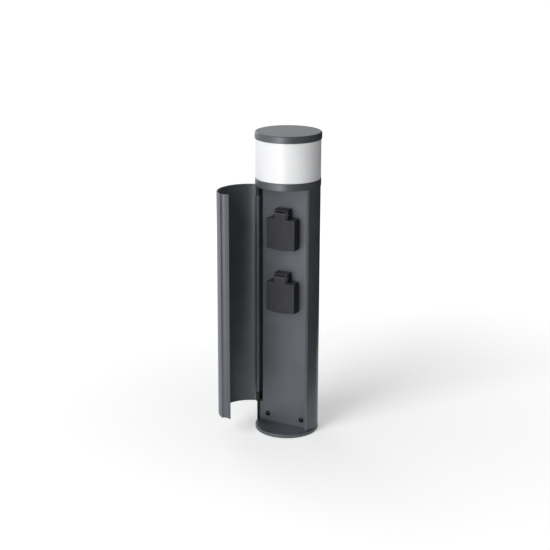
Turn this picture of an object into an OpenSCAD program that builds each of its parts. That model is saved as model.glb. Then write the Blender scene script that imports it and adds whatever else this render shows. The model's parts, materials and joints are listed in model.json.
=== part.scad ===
// Garden socket post: a round post with a hinged door, two sockets with sprung lids and a lamp head.
// Millimetres. X runs along the front panel, Y to the back, Z up. The origin is on the post's
// axis at the underside of the base plate. The door stands open, as it does in use.

/* [Base plate] */
// How far the base plate stands out past the post
base_over = 0.4; // [0.2:0.1:6]
// Thickness of the base plate
base_t = 6.5; // [5:0.5:10]
// Bevel round the plate's edges
base_bevel = 0.9; // [0.4:0.1:1.5]
// Pitch circle of the three anchor holes
anchor_pcd = 44; // [38:1:48]
// Radius of an anchor hole
anchor_hole_r = 3.3; // [2.5:0.1:4.5]
// How far the cable entry lies behind the axis
entry_y = 24; // [20:1:26]
// Radius of the cable opening in the grommet
entry_r = 6.5; // [4:0.5:8]
// Rubber wall of the grommet
grommet_wall = 3.5; // [2:0.5:4]
// Width of an upright lug that the post is screwed to
lug_w = 14; // [10:1:16]
// Thickness of an upright lug
lug_t = 4; // [3:0.5:6]
// Height of a lug above the plate
lug_h = 23.5; // [18:0.5:30]

/* [Post] */
// Outer radius of the post
post_r = 55; // [52:0.5:60]
// Wall of the extruded post
post_wall = 2.8; // [2:0.1:4]
// Height of the post's top above the ground
post_top = 440; // [430:5:520]
// How far the flat front panel lies in front of the axis
panel_y = 5.7; // [4:0.1:8]
// Sideways place of the panel's centre line, where the sockets sit
panel_mid = -1.7; // [-3:0.1:1]
// Height of the two foot screws
foot_screw_z = 19.5; // [16:0.5:24]
// Distance of a foot screw from the centre line
foot_screw_x = 33; // [28:0.5:35]
// Radius of a foot screw's shank
foot_screw_r = 2; // [1.5:0.1:2.5]
// Radius of a foot screw's head
foot_head_r = 4.6; // [3.8:0.1:5]
// How far the right-hand rim stands in front of the panel
rim_reach = 14.6; // [10:0.2:17]
// Width of the rim's bright end face
rim_face_w = 3.85; // [3:0.05:4.5]
// Angle on the post at which the rim starts to lean in
rim_root_deg = 2; // [0:1:10]
// How far the middle of a screw port lies inside the post's surface
port_inset = 8.7; // [8:0.1:10]

/* [Hinge] */
// How far the door's hinge axis lies inside the post's left edge
hinge_inset = 1; // [0.2:0.1:2]
// Front to back place of the door's hinge axis
hinge_y = -6; // [-7:0.1:-5]
// Radius of a hinge pin
hinge_pin_r = 1.4; // [1:0.1:1.7]
// Outer radius of the door's knuckle
knuckle_r = 3; // [2.7:0.1:3.3]
// Radius of a hinge ear round its pin
ear_r = 4.2; // [3.6:0.1:4.4]
// Thickness of a hinge ear's plate
ear_t = 3; // [2:0.5:5]
// Clearance between a hinge ear and the door's notched end
ear_gap = 0.4; // [0.3:0.1:1.5]
// Radius of the bead that runs from the lower ear down to the base plate
bead_r = 1.5; // [1:0.1:1.6]
// Height of the lower ear's underside
ear_low_z = 41; // [36:0.5:44]
// Height of the upper ear's underside
ear_high_z = 430; // [425:0.5:432]
// Width of the dark hinge pocket beside the knuckle
pocket_w = 9; // [7:0.5:10]
// Depth of the hinge pocket behind the panel's face
pocket_d = 13.7; // [10:0.1:15]

/* [Door] */
// How far the closed door's shell stands out past the post
door_over = 0.5; // [0:0.1:2]
// Thickness of the door's shell
door_t = 2.2; // [1.6:0.1:2.6]
// Height of the door's lower edge above the ground
door_low_z = 41; // [38:0.5:48]
// Height of the door's upper edge above the ground
door_high_z = 436.2; // [430:0.2:438]
// How much shorter the knuckle is than the door, at each end
knuckle_notch = 18; // [15:0.5:24]
// Where the door's free edge ends, as an angle on the closed post
door_edge_deg = -39.5; // [-44:0.5:-37]
// Depth of the return that forms the finger grip
grip_depth = 13.4; // [9:0.2:14]
// Hollow of the finger grip
grip_hollow = 2.2; // [1:0.1:3]
// How far the door stands open
door_open_deg = 83; // [0:1:115]

/* [Sockets] */
// Height of the lower socket's centre
lower_socket_z = 246.5; // [200:0.5:250]
// Height of the upper socket's centre
upper_socket_z = 358; // [350:0.5:362]
// How far the front frame reaches past the socket's drum, at its middle
frame_over = 5.25; // [4.5:0.05:6]
// How much further the front frame reaches down than up
frame_foot = 1.6; // [0.8:0.2:2.4]
// Corner radius of the front frame
frame_corner_r = 4; // [2:0.5:5]
// How far the front frame stands off the panel
frame_d = 12; // [10:0.5:14]
// Radius of the plug well
well_r = 19.5; // [19:0.1:20]
// Depth of the plug well
well_d = 16.9; // [15:0.1:18]
// Distance of a contact from the socket's centre
contact_x = 9.5; // [9:0.1:10]
// Radius of the holes that the plug's pins pass
pin_hole_r = 2.8; // [2.6:0.1:3]
// Wall of the drum round the well, behind the panel
drum_wall = 2.25; // [1.8:0.05:3]
// Distance of a fixing screw from the frame's edges
fixing_inset = 8; // [7:0.1:8.5]
// Thickness of the rubber gasket under the frame
gasket_t = 1; // [0.5:0.5:2]

/* [Socket lids] */
// How far the frame shows beside a lid
lid_side = 0.5; // [0:0.1:1.5]
// Thickness of a lid, front face to rim
lid_t = 6.3; // [5.5:0.1:8]
// Thickness of a lid's front and walls
lid_wall = 2.2; // [1.6:0.1:3]
// How far a lid's shoulders lie under the frame's top
lid_top_inset = 1; // [0:0.25:1.5]
// How far a lid's lower corners lie above the frame's foot
lid_lift = 3.2; // [2.8:0.1:3.8]
// How much a lid's lower edge bulges downward
lid_bulge = 2.8; // [0:0.2:4]
// Width of the tongue that a lid hangs from
tongue_w = 19.8; // [18:0.2:24]
// Height of a lid's hinge axis over the lid's shoulders
lid_axis_rise = 8; // [7:0.1:9]
// Radius of a lid's knuckle
lid_knuckle_r = 4; // [3.8:0.1:4.2]
// Radius of a lid's hinge pin
lid_pin_r = 1.2; // [1:0.1:1.4]
// Thickness of the cheeks beside the tongue
cheek_t = 2.5; // [1.5:0.1:3]
// Height of the hinge block's top over the lid's hinge axis
block_rise = 8.5; // [7.5:0.5:11]
// Height of the bar that joins the cheeks in front
bar_h = 2.9; // [2:0.1:3.2]

/* [Lamp head] */
// How far the collar stands out past the post
collar_over = 0.8; // [0.6:0.1:5]
// Height of the collar
collar_h = 12.6; // [10:0.2:16]
// Thickness of the collar's floor
collar_floor = 3.5; // [2.5:0.5:5]
// How far the opal diffuser stands back from the collar's edge
diffuser_inset = 0.6; // [0.3:0.1:1.2]
// Wall of the diffuser
diffuser_wall = 2.8; // [2:0.1:3.2]
// Visible height of the diffuser
diffuser_h = 66.8; // [40:0.2:120]
// How far the cap stands out past the collar
cap_over = 0.7; // [0:0.1:4]
// Height of the cap
cap_h = 11.7; // [8:0.1:20]
// Bevel round the cap's top
cap_bevel = 1.6; // [0.5:0.1:3]
// Radius of the circuit board that carries the light-emitting diodes
board_r = 33; // [29:0.5:35]
// Number of light-emitting diodes
diode_count = 12; // [6:1:18]

/* [Wiring] */
// Radius of an insulated conductor
wire_r = 1.25; // [0.8:0.05:1.3]
// Distance between the poles of the terminal block
pole_pitch = 11; // [9.5:0.5:12]
// Height of the terminal block's underside
block_z = 64; // [60:1:80]

/* [Hidden] */
$fn = 64;
// Clearances: a free fit, a running fit on a pin, and the gap between moving covers
fit = 0.1;
running_fit = 0.05;
cover_gap = 0.3;
// A cutter runs this far past what it cuts
over = 1;
FAR = 200;

// Base plate and post
base_r = post_r + base_over;
inner_r = post_r - post_wall;
port_pitch_r = post_r - port_inset;
panel_back = post_wall - panel_y;
rim_root = post_r * [cos(rim_root_deg), sin(rim_root_deg)];
rim_lean_deg = 16.8;
rim_face_deg = 27.9;
rim_low_y = -panel_y - rim_reach + rim_face_w * sin(rim_face_deg);
rim_outer = [rim_root.x - (rim_root.y - rim_low_y) * tan(rim_lean_deg), rim_low_y];
rim_inner = rim_outer - rim_face_w * [cos(rim_face_deg), sin(rim_face_deg)];
rim_spare = 4;
rim_inner_root_deg = rim_root_deg + 0.4;
rim_inner_root = inner_r * [cos(rim_inner_root_deg), sin(rim_inner_root_deg)];
port_r = 4.2;
port_bore_r = 1.9;
port_angles = [25, 65, 115, 155];
foot_screw_hole_r = foot_screw_r + 0.2;

// Hinge pocket and ears
hinge_x = hinge_inset - post_r;
pocket_right = hinge_x + pocket_w;
pocket_back = pocket_d - panel_y;
pocket_wall = 2;
pocket_front_y = hinge_y + ear_r + cover_gap;
ear_plug_h = 10;
bead_at = [hinge_x + 0.8, hinge_y - 2.4];

// Door
door_r = post_r + door_over;
door_inner_r = door_r - door_t;
knuckle_low_z = door_low_z + knuckle_notch - 1.3;
knuckle_high_z = door_high_z - knuckle_notch - 1.7;
bush_r = knuckle_r - 0.9;
bush_l = 18;
bush_end = 1.2;
door_corner = door_r * [cos(door_edge_deg), sin(door_edge_deg)];
grip_r = (grip_depth * grip_depth / 4 + grip_hollow * grip_hollow) / (2 * grip_hollow);
grip_half_deg = asin(grip_depth / 2 / grip_r);
grip_turn_deg = 2;
grip_centre = door_corner + [0, grip_depth / 2]
    + (grip_r - grip_hollow) * [cos(grip_turn_deg), -sin(grip_turn_deg)];
grip_lip_r = 1.4;

hinge_deg = 180 + atan2(-hinge_y, -hinge_x);
notch_deg = 2 * asin((ear_r + ear_gap) / 2 / norm([hinge_x, hinge_y]));
shell_end_deg = hinge_deg + notch_deg;
web_deg = hinge_deg + 165;
web_root_deg = shell_end_deg + 2.2;
web_root = (door_inner_r + 0.5) * [cos(web_root_deg), sin(web_root_deg)];

// Sockets, from the panel's face: front is towards minus Y
drum_r = well_r + drum_wall;
frame_w = 2 * (drum_r + frame_over);
fixing_xy = frame_w / 2 - fixing_inset;
frame_front = -frame_d;
well_floor = frame_front + well_d;
floor_t = 3;
sleeve_r = 3.6;
sleeve_bore_r = 2.45;
sleeve_start = well_floor + floor_t;
sleeve_end = sleeve_start + 16;
drum_end = sleeve_end + 2;
back_t = 2;
socket_back = drum_end + back_t;
drum_gap = 0.25;
wire_hole_r = wire_r + 0.6;
earth_hole_z = 9;
fixing_r = 1.5;
fixing_head_r = 2.8;
fixing_head_h = 2;
fixing_sink = 3.6;
clip_w = 8;
clip_t = 0.8;
clip_inset = 1.1;
clip_back = drum_end - 3.2;
clip_slot = cover_gap;
terminal_screw_r = 1.5;

// Lids
lid_w = frame_w - 2 * lid_side;
lid_shoulder = frame_w / 2 - lid_top_inset;
lid_drop = frame_w / 2 + frame_foot - lid_lift;
lid_axis_z = lid_shoulder + lid_axis_rise;
block_top = lid_axis_z + block_rise;
lid_front = frame_front - cover_gap - lid_t;
lid_rim = frame_front - cover_gap;
lid_axis_y = lid_front + lid_knuckle_r;
block_half = tongue_w / 2 + 0.2 + cheek_t;
block_front = lid_axis_y + lid_knuckle_r + cover_gap;
cheek_front = lid_front + 1.4;
cheek_chamfer = 2;
bar_d = 2.7;
spring_r = 2.4;
spring_half = 4.3;
spring_slot_half = spring_half + 0.2;
tongue_skin = 1.3;

// Lamp head
collar_r = post_r + collar_over;
diffuser_r = collar_r - diffuser_inset;
cap_r = collar_r + cap_over;
collar_wall = 5;
collar_top = post_top + collar_h;
collar_floor_top = post_top + collar_floor;
ring_w = 9.1;
hook_reach = 2.5;
diffuser_inner_r = diffuser_r - diffuser_wall;
ring_inner_r = diffuser_inner_r - ring_w;
upstand_r = ring_inner_r - hook_reach - cover_gap;
upstand_wall = 3;
hook_t = 3;
hook_deg = 30;
upstand_top = collar_top + 8.4;
seal_t = 1;
ring_t = 3;
cap_low = collar_top + diffuser_h;
cap_top = cap_low + cap_h;
cap_wall = 3;
spigot_r = diffuser_inner_r - 0.2;
spigot_h = 5;
board_t = 1.6;
standoff_h = 2.5;
standoff_r = 3;
board_screw_pitch_r = 26;
board_low = collar_floor_top + standoff_h;
diode_ring_r = 18;
diode_w = 3.5;
diode_h = 0.8;
driver_size = [50, 22, 26];
driver_y = 8;
driver_tab = [8, 12, 2];
port_screw_grip = 12;
lead_y = 20;
lead_r = 0.8;
lead_gap = 4;

// Terminals and wires
bracket_t = 2;
bracket_y = panel_back + lug_t;
bracket_face = bracket_y + bracket_t;
bracket_size = [79, bracket_t, 82];
bracket_z = base_t + 3.5;
block_size = [4 * pole_pitch - 3, 18, 20];
bar_size = [7, 14.6, 16];
bar_wall = 2;
bar_bore_r = wire_r + 0.15;
bar_bore_d = 8;
bore_pitch = 4.8;
block_mid_y = bracket_face + block_size.y / 2;
bar_top = block_z + bar_wall + bar_size.z;
run_y = 34;
run_step = 5.6;
run_low_z = block_z + block_size.z + 12;
run_high_z = run_low_z + 38;
relief_z = 34;
relief_size = [30, 12, 8];
cable_r = 5;
earth_x = 25;
earth_z = 45;
earth_screw_r = 2.5;

// An arc of points about the origin
function arc(r, from, to, steps) =
    [for (i = [0 : steps]) let (a = from + (to - from) * i / steps) r * [cos(a), sin(a)]];

// Outline of a rectangle with rounded corners, centred
function round_rect(w, h, r) = [
    for (q = [[1, 1, 0], [-1, 1, 90], [-1, -1, 180], [1, -1, 270]])
        each [for (p = arc(r, q[2], q[2] + 90, 6)) [q[0] * (w / 2 - r), q[1] * (h / 2 - r)] + p]
];

function unit(v) = v / norm(v);

// One pass of corner cutting, with the ends kept
function smooth(p) = concat(
    [p[0]],
    [for (i = [0 : len(p) - 2]) each [p[i] * 0.75 + p[i + 1] * 0.25, p[i] * 0.25 + p[i + 1] * 0.75]],
    [p[len(p) - 1]]
);

// A round tube along a route, with its cross-section carried along without twist
module wire(route, r, sides = 8) {
    path = smooth(smooth(route));
    last = len(path) - 1;
    along = [for (i = [0 : last]) unit(path[min(i + 1, last)] - path[max(i - 1, 0)])];
    side = [
        for (i = 0, n = unit(cross(along[0], [0.3, 1, 0.2])); i <= last;
             i = i + 1, n = i > last ? n : unit(n - (n * along[i]) * along[i])) n
    ];
    points = [
        for (i = [0 : last], k = [0 : sides - 1])
            let (a = 360 * k / sides)
                path[i] + r * (cos(a) * side[i] + sin(a) * cross(along[i], side[i]))
    ];
    walls = [
        for (i = [0 : last - 1], k = [0 : sides - 1])
            let (a = i * sides + k, b = i * sides + (k + 1) % sides)
                each [[a, b + sides, b], [a, a + sides, b + sides]]
    ];
    start_cap = [for (k = [1 : sides - 2]) [0, k, k + 1]];
    end_cap = [for (k = [1 : sides - 2]) last * sides * [1, 1, 1] + [0, k + 1, k]];
    polyhedron(points, concat(walls, start_cap, end_cap), convexity = 4);
}

module ring(r_out, r_in, h) {
    difference() {
        cylinder(r = r_out, h = h);
        translate([0, 0, -over]) cylinder(r = r_in, h = h + 2 * over);
    }
}

// A plate standing in the XZ plane, from depth y_from back to y_to
module upright(y_from, y_to) {
    translate([0, y_to, 0]) rotate([90, 0, 0]) linear_extrude(y_to - y_from) children();
}

// A cylinder along Y
module rod_y(r, y_from, y_to) {
    translate([0, y_to, 0]) rotate([90, 0, 0]) cylinder(r = r, h = y_to - y_from);
}

// A cylinder along X, centred
module rod_x(r, half) {
    translate([-half, 0, 0]) rotate([0, 90, 0]) cylinder(r = r, h = 2 * half);
}

// A screw with its head on top of z = 0 and its shank below, with a hexagon recess
module screw(shank_r, shank_l, head_r, head_h) {
    difference() {
        rotate_extrude() polygon([
            [0, -shank_l], [shank_r, -shank_l], [shank_r, 0], [head_r, 0],
            [head_r, head_h * 0.35], [head_r * 0.82, head_h * 0.78], [head_r * 0.45, head_h], [0, head_h],
        ]);
        translate([0, 0, head_h * 0.45]) cylinder(r = head_r * 0.4, h = head_h, $fn = 6);
    }
}

// Turns a screw so that its head faces the front or the back
module facing_front() { rotate([90, 0, 0]) children(); }
module facing_back() { rotate([-90, 0, 0]) children(); }

module at_hinge() { translate([hinge_x, hinge_y, 0]) children(); }

// Puts what is drawn on the closed door where the open door is
module on_door() {
    at_hinge() rotate([0, 0, -door_open_deg]) translate([-hinge_x, -hinge_y, 0]) children();
}

module at_socket(z) { translate([panel_mid, -panel_y, z]) children(); }

module mirrored_x() {
    children();
    mirror([1, 0, 0]) children();
}

module at_foot_screws(y) {
    for (side = [-1, 1]) translate([panel_mid + side * foot_screw_x, y, foot_screw_z]) children();
}

module at_fixings() {
    for (x = [-1, 1], z = [-1, 1]) translate([x * fixing_xy, 0, z * fixing_xy]) children();
}

module at_ports() { for (a = port_angles) rotate([0, 0, a]) translate([port_pitch_r, 0, 0]) children(); }

// Base and foot

module base_plate() {
    color("#3c3f42") difference() {
        union() {
            rotate_extrude($fn = 128) polygon([
                [0, 0], [base_r - base_bevel, 0], [base_r, base_bevel], [base_r, base_t - base_bevel],
                [base_r - base_bevel, base_t], [0, base_t],
            ]);
            for (side = [-1, 1])
                translate([panel_mid + side * foot_screw_x - lug_w / 2, panel_back, base_t / 2])
                    cube([lug_w, lug_t, lug_h + base_t / 2]);
        }
        translate([0, entry_y, -over]) cylinder(r = entry_r + grommet_wall, h = base_t + 2 * over);
        translate([0, entry_y, -over]) for (a = [90, 210, 330])
            rotate([0, 0, a]) translate([anchor_pcd / 2, 0, 0])
                cylinder(r = anchor_hole_r, h = base_t + 2 * over);
        at_foot_screws(0) rod_y(foot_screw_r, panel_back - over, bracket_y + over);
    }
}

module cable_grommet() {
    lip = 2;
    color("#1c1c1d") translate([0, entry_y, 0]) rotate_extrude() polygon([
        [entry_r, 0.5], [entry_r + grommet_wall, 0.5], [entry_r + grommet_wall, base_t],
        [entry_r + grommet_wall + lip, base_t], [entry_r + grommet_wall + lip, base_t + lip],
        [entry_r, base_t + lip],
    ]);
}

module foot_screws() {
    color("#151617") at_foot_screws(-panel_y) facing_front()
        screw(foot_screw_r, bracket_face + panel_y + 4, foot_head_r, 2.4);
}

module foot_nuts() {
    color("silver") at_foot_screws(bracket_face) difference() {
        facing_back() cylinder(r = foot_screw_r * 2, h = 3.2, $fn = 6);
        rod_y(foot_screw_r, -over, 3.2 + over);
    }
}

// Wiring board in the foot

module terminal_bracket() {
    color("silver") difference() {
        translate([panel_mid - bracket_size.x / 2, bracket_y, bracket_z]) cube(bracket_size);
        at_foot_screws(0) rod_y(foot_screw_hole_r, 0, bracket_face + over);
        for (side = [-1, 1]) {
            translate([panel_mid + side * relief_screw_x(), 0, relief_z + relief_size.z / 2])
                rod_y(fixing_r, 0, bracket_face + over);
            translate([panel_mid + side * block_screw_x(), 0, block_z + block_size.z / 2])
                rod_y(fixing_r, 0, bracket_face + over);
        }
        translate([panel_mid + earth_x, 0, earth_z]) rod_y(earth_screw_r, 0, bracket_face + over);
    }
}

function relief_screw_x() = relief_size.x / 2 - 4;
function block_screw_x() = block_size.x / 2 - 2.8;
function pole_x(pole) = panel_mid + (pole - 1) * pole_pitch;
function bore_y(way) = block_mid_y + (way - 1) * bore_pitch;

module at_bars() {
    for (pole = [0 : 2])
        translate([pole_x(pole) - bar_size.x / 2, block_mid_y - bar_size.y / 2, block_z + bar_wall])
            children();
}

module terminal_block() {
    color("ivory") difference() {
        translate([panel_mid - block_size.x / 2, bracket_face, block_z]) cube(block_size);
        at_bars() cube(bar_size);
        for (pole = [0 : 2], way = [0 : 2])
            translate([pole_x(pole), bore_y(way), block_z - over])
                cylinder(r = bar_bore_r + 0.4, h = block_size.z + 2 * over);
        for (side = [-1, 1])
            translate([panel_mid + side * block_screw_x(), 0, block_z + block_size.z / 2])
                rod_y(fixing_r + fit, 0, bracket_face + block_size.y + over);
    }
}

module terminal_bars() {
    color("goldenrod") difference() {
        at_bars() cube(bar_size);
        for (pole = [0 : 2], way = [0 : 2]) {
            translate([pole_x(pole), bore_y(way), bar_top - bar_bore_d])
                cylinder(r = bar_bore_r, h = bar_bore_d + over);
            translate([pole_x(pole), bore_y(way), block_z])
                cylinder(r = bar_bore_r, h = bar_wall + 5);
        }
    }
}

module terminal_block_screws() {
    color("silver") for (side = [-1, 1])
        translate([panel_mid + side * block_screw_x(), bracket_face + block_size.y, block_z + block_size.z / 2])
            facing_back() screw(fixing_r, block_size.y + bracket_t, fixing_head_r, fixing_head_h);
}

module strain_relief() {
    color("#1c1c1d") difference() {
        translate([panel_mid - relief_size.x / 2, bracket_face, relief_z]) cube(relief_size);
        translate([panel_mid, bracket_face + 1, relief_z - over])
            cylinder(r = cable_r, h = relief_size.z + 2 * over);
        for (side = [-1, 1])
            translate([panel_mid + side * relief_screw_x(), 0, relief_z + relief_size.z / 2])
                rod_y(fixing_r + fit, 0, bracket_face + relief_size.y + over);
    }
}

module strain_relief_screws() {
    color("silver") for (side = [-1, 1])
        translate([panel_mid + side * relief_screw_x(), bracket_face + relief_size.y, relief_z + relief_size.z / 2])
            facing_back() screw(fixing_r, relief_size.y + bracket_t, fixing_head_r, fixing_head_h);
}

lug_ring_r = earth_screw_r + 2;
lug_ring_t = 1.2;
barrel_l = 6;
barrel_r = 2;

module earth_lug() {
    color("silver") translate([panel_mid + earth_x, bracket_face, earth_z]) difference() {
        union() {
            rod_y(lug_ring_r, 0, lug_ring_t);
            translate([-lug_ring_r - barrel_l / 2 + 0.3, barrel_r + fit, 0]) rod_x(barrel_r, barrel_l / 2);
        }
        rod_y(earth_screw_r, -over, lug_ring_t + 2 * barrel_r);
    }
}

module earth_screw() {
    color("silver") translate([panel_mid + earth_x, bracket_face + lug_ring_t, earth_z])
        facing_back() screw(earth_screw_r, lug_ring_t + bracket_t, earth_screw_r + 1.5, 2.6);
}

// Post

module behind(y) { translate([-FAR / 2, y]) square([FAR, FAR]); }

// The rim and its root, wider than the rim is: right_of_rim gives it its outer face
module rim_outline() {
    polygon([
        rim_inner, rim_outer + rim_spare * unit(rim_outer - rim_inner),
        [post_r + rim_spare, -panel_y / 2], rim_inner_root,
    ]);
}

module right_of_rim() {
    lean = unit(rim_root - rim_outer);
    polygon([
        rim_root + rim_spare * lean, rim_outer - rim_spare * lean,
        [FAR, rim_outer.y - rim_spare], [FAR, rim_root.y + rim_spare],
    ]);
}

module hinge_rib() {
    translate([-post_r, -post_r])
        square([post_r + pocket_right + pocket_wall, post_r + pocket_back + pocket_wall]);
}

// Plan of the hollow behind the hinge pocket, drawn in by a clearance
module pocket_plan(clear) {
    intersection() {
        circle(r = inner_r - clear, $fn = 128);
        translate([-post_r, panel_back + clear])
            square([post_r + pocket_right - clear, pocket_back - panel_back - 2 * clear]);
    }
}

module port_outline() {
    circle(r = port_r);
    translate([0, -post_wall / 2]) square([inner_r - port_pitch_r + post_wall / 2, post_wall]);
}

module post_hollow() {
    difference() {
        intersection() {
            circle(r = inner_r, $fn = 128);
            behind(panel_back);
        }
        rim_outline();
        hinge_rib();
        at_ports() port_outline();
    }
}

module post_profile() {
    difference() {
        union() {
            intersection() {
                circle(r = post_r, $fn = 128);
                behind(-panel_y);
            }
            rim_outline();
        }
        post_hollow();
        pocket_plan(0);
        right_of_rim();
        at_ports() circle(r = port_bore_r);
    }
}

module post() {
    color("#4b4f53") difference() {
        translate([0, 0, base_t]) linear_extrude(post_top - base_t) post_profile();
        translate([-FAR, -FAR, ear_low_z])
            cube([FAR + pocket_right, FAR + pocket_front_y, ear_high_z + ear_t - ear_low_z]);
        at_foot_screws(0) rod_y(foot_screw_hole_r, -panel_y - over, panel_back + over);
        for (z = [lower_socket_z, upper_socket_z]) at_socket(z) {
            rod_y(drum_r + drum_gap, -over, post_wall + over);
            at_fixings() rod_y(fixing_r, -over, post_wall + over);
        }
    }
}

// A hinge ear: a barrel round the pin, a plate in the pocket, and a plug in the post's hollow
module hinge_ear(plate_z, plug_z, plug_h, barrel_from, barrel_to) {
    translate([0, 0, plate_z]) linear_extrude(ear_t) intersection() {
        circle(r = inner_r - fit, $fn = 128);
        translate([-post_r, -panel_y])
            square([post_r + pocket_right - fit, pocket_back + panel_y - fit]);
    }
    translate([0, 0, plug_z]) linear_extrude(plug_h) pocket_plan(fit);
    at_hinge() translate([0, 0, barrel_from]) cylinder(r = ear_r, h = barrel_to - barrel_from);
}

module pin_bore(from, to) {
    at_hinge() translate([0, 0, from - over]) cylinder(r = hinge_pin_r, h = to - from + 2 * over);
}

// A bead on the lower ear, which covers the panel's left edge down to the base plate
module ear_bead() {
    translate([0, 0, base_t + fit]) linear_extrude(ear_low_z + ear_t - base_t - fit) hull() {
        translate(bead_at) circle(r = bead_r);
        translate([bead_at.x - bead_r, -panel_y - fit - bead_r]) square([2 * bead_r, bead_r]);
    }
}

module lower_hinge_ear() {
    barrel_to = knuckle_low_z - cover_gap;
    color("#2a2c2e") difference() {
        union() {
            hinge_ear(ear_low_z, ear_low_z - ear_plug_h, ear_plug_h + ear_t, ear_low_z, barrel_to);
            ear_bead();
        }
        pin_bore(ear_low_z, barrel_to);
    }
}

module upper_hinge_ear() {
    barrel_from = knuckle_high_z + cover_gap;
    barrel_to = ear_high_z + ear_t;
    color("#2a2c2e") difference() {
        hinge_ear(ear_high_z, ear_high_z, post_top - ear_high_z - cover_gap, barrel_from, barrel_to);
        pin_bore(barrel_from, barrel_to);
    }
}

lower_pin_top = knuckle_low_z + bush_l - bush_end - fit;
upper_pin_low = knuckle_high_z - bush_l + bush_end + fit;

module lower_hinge_pin() {
    color("silver") at_hinge() translate([0, 0, ear_low_z])
        cylinder(r = hinge_pin_r, h = lower_pin_top - ear_low_z);
}

module upper_hinge_pin() {
    color("silver") at_hinge() translate([0, 0, upper_pin_low])
        cylinder(r = hinge_pin_r, h = ear_high_z + ear_t - upper_pin_low);
}

// Door

module sector(from, to) {
    polygon([[0, 0], FAR * [cos(from), sin(from)], FAR * [cos(to), sin(to)]]);
}

module shell_outline(from) {
    intersection() {
        difference() {
            circle(r = door_r, $fn = 128);
            circle(r = door_inner_r, $fn = 128);
        }
        sector(from, door_edge_deg + 360);
    }
}

// The hollow return along the free edge, with a rounded lip
module grip_outline() {
    middle_deg = 180 - grip_turn_deg;
    translate(grip_centre) {
        intersection() {
            difference() {
                circle(r = grip_r + door_t);
                circle(r = grip_r);
            }
            sector(middle_deg - grip_half_deg, middle_deg + grip_half_deg + 3);
        }
        rotate([0, 0, middle_deg - grip_half_deg])
            translate([grip_r + door_t / 2, 0]) circle(r = grip_lip_r);
    }
}

module trimmed_grip() {
    difference() {
        grip_outline();
        difference() {
            circle(r = FAR);
            circle(r = door_r, $fn = 128);
        }
    }
}

// Flat strip on the door's inside, between the knuckle and the shell
module hinge_web() {
    polygon([
        web_root, [hinge_x, hinge_y] + 0.9 * knuckle_r * [cos(web_deg), sin(web_deg)], [hinge_x, hinge_y],
    ]);
}

// Clears the door's ends round the hinge ears
module ear_notch(low, high) {
    translate([0, 0, low]) linear_extrude(high - low) sector(hinge_deg - 12, shell_end_deg);
}

module door() {
    color("#4b4f53") on_door() difference() {
        translate([0, 0, door_low_z]) linear_extrude(door_high_z - door_low_z) {
            shell_outline(hinge_deg + 1);
            hinge_web();
            trimmed_grip();
            translate([hinge_x, hinge_y]) circle(r = knuckle_r);
        }
        ear_notch(door_low_z - over, knuckle_low_z);
        ear_notch(knuckle_high_z, door_high_z + over);
        at_hinge() translate([0, 0, door_low_z - over])
            cylinder(r = bush_r, h = door_high_z - door_low_z + 2 * over);
    }
}

// A plastic bush with a blind bore that the pin's end runs in
module bush() {
    difference() {
        cylinder(r = bush_r, h = bush_l);
        translate([0, 0, -over])
            cylinder(r = hinge_pin_r + running_fit, h = bush_l - bush_end + over);
    }
}

module lower_hinge_bush() { color("#d8d8d2") on_door() at_hinge() translate([0, 0, knuckle_low_z]) bush(); }

module upper_hinge_bush() {
    color("#d8d8d2") on_door() at_hinge() translate([0, 0, knuckle_high_z]) mirror([0, 0, 1]) bush();
}

// Lamp head

module collar() {
    edge = 0.6;
    color("#4b4f53") difference() {
        union() {
            rotate_extrude($fn = 128) polygon([
                [0, post_top], [collar_r - edge, post_top], [collar_r, post_top + edge],
                [collar_r, collar_top - edge], [collar_r - edge, collar_top],
                [collar_r - collar_wall, collar_top], [collar_r - collar_wall, collar_floor_top],
                [upstand_r, collar_floor_top], [upstand_r, upstand_top],
                [upstand_r - upstand_wall, upstand_top], [upstand_r - upstand_wall, collar_floor_top],
                [0, collar_floor_top],
            ]);
            for (a = [0, 120, 240]) rotate([0, 0, a]) rotate_extrude(angle = hook_deg)
                translate([upstand_r - upstand_wall, upstand_top - hook_t])
                    square([upstand_wall + hook_reach, hook_t]);
            for (a = [30, 150, 270]) rotate([0, 0, a]) translate([board_screw_pitch_r, 0, collar_floor_top - over])
                cylinder(r = standoff_r, h = standoff_h + over);
        }
        at_ports() translate([0, 0, post_top - over])
            cylinder(r = port_bore_r + 0.3, h = collar_floor + 2 * over);
        for (a = [30, 150, 270]) rotate([0, 0, a]) translate([board_screw_pitch_r, 0, collar_floor_top])
            cylinder(r = fixing_r - 0.25, h = standoff_h + over);
        translate([0, lead_y, post_top - over]) cylinder(r = lead_gap, h = collar_floor + 2 * over);
        at_driver_screws() translate([0, 0, -over]) cylinder(r = fixing_r, h = collar_floor + 2 * over);
    }
}

module collar_screws() {
    color("silver") at_ports() translate([0, 0, collar_floor_top])
        screw(port_bore_r, collar_floor + port_screw_grip, 3.6, 2.4);
}

module diffuser_gasket() {
    color("#1c1c1d") translate([0, 0, collar_top])
        ring(diffuser_inner_r - fit, collar_r - collar_wall, seal_t);
}

module diffuser_ring() {
    color("whitesmoke") {
        translate([0, 0, collar_top + seal_t]) ring(diffuser_inner_r, ring_inner_r, ring_t);
        for (a = [0, 120, 240]) rotate([0, 0, a + 2]) rotate_extrude(angle = hook_deg - 4)
            translate([upstand_r + cover_gap, collar_top + seal_t])
                square([hook_reach + 1, upstand_top - hook_t - fit * 2 - collar_top - seal_t]);
    }
}

module diffuser() {
    color("white") translate([0, 0, collar_top])
        ring(diffuser_r, diffuser_inner_r, diffuser_h, $fn = 128);
}

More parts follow.
